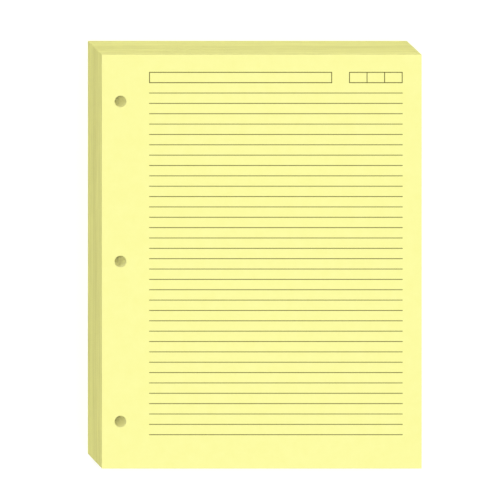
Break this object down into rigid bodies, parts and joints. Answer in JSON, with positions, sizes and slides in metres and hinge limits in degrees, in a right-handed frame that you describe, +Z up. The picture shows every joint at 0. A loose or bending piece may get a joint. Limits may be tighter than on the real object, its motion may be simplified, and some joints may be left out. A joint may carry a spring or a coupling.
{
  "type": "loose-leaf paper",
  "caption": "Squared-up stack of loose yellow writing leaves, punched for binder rings, the top leaf ruled and headed with a title box and date cells.",
  "frame": {"origin": "middle of the underside of the stack, on the surface that it lies on", "axes": "+X to the right-hand edge of the page, +Y to the head of the page, +Z up through the stack"},
  "size_m": [0.216, 0.2794, 0.0254],
  "materials": {
    "cut_paper_edge": "guillotined edges of stacked uncoated leaves, matte",
    "yellow_bond_paper": "uncoated bond paper dyed pale yellow, matte",
    "print_ink": "dark olive printing ink soaked into the paper, matte"
  },
  "bodies": {
    "root": {"leaf_stack": "cut_paper_edge", "top_leaf": "yellow_bond_paper", "ruling": "print_ink"}
  },
  "joints": []
}
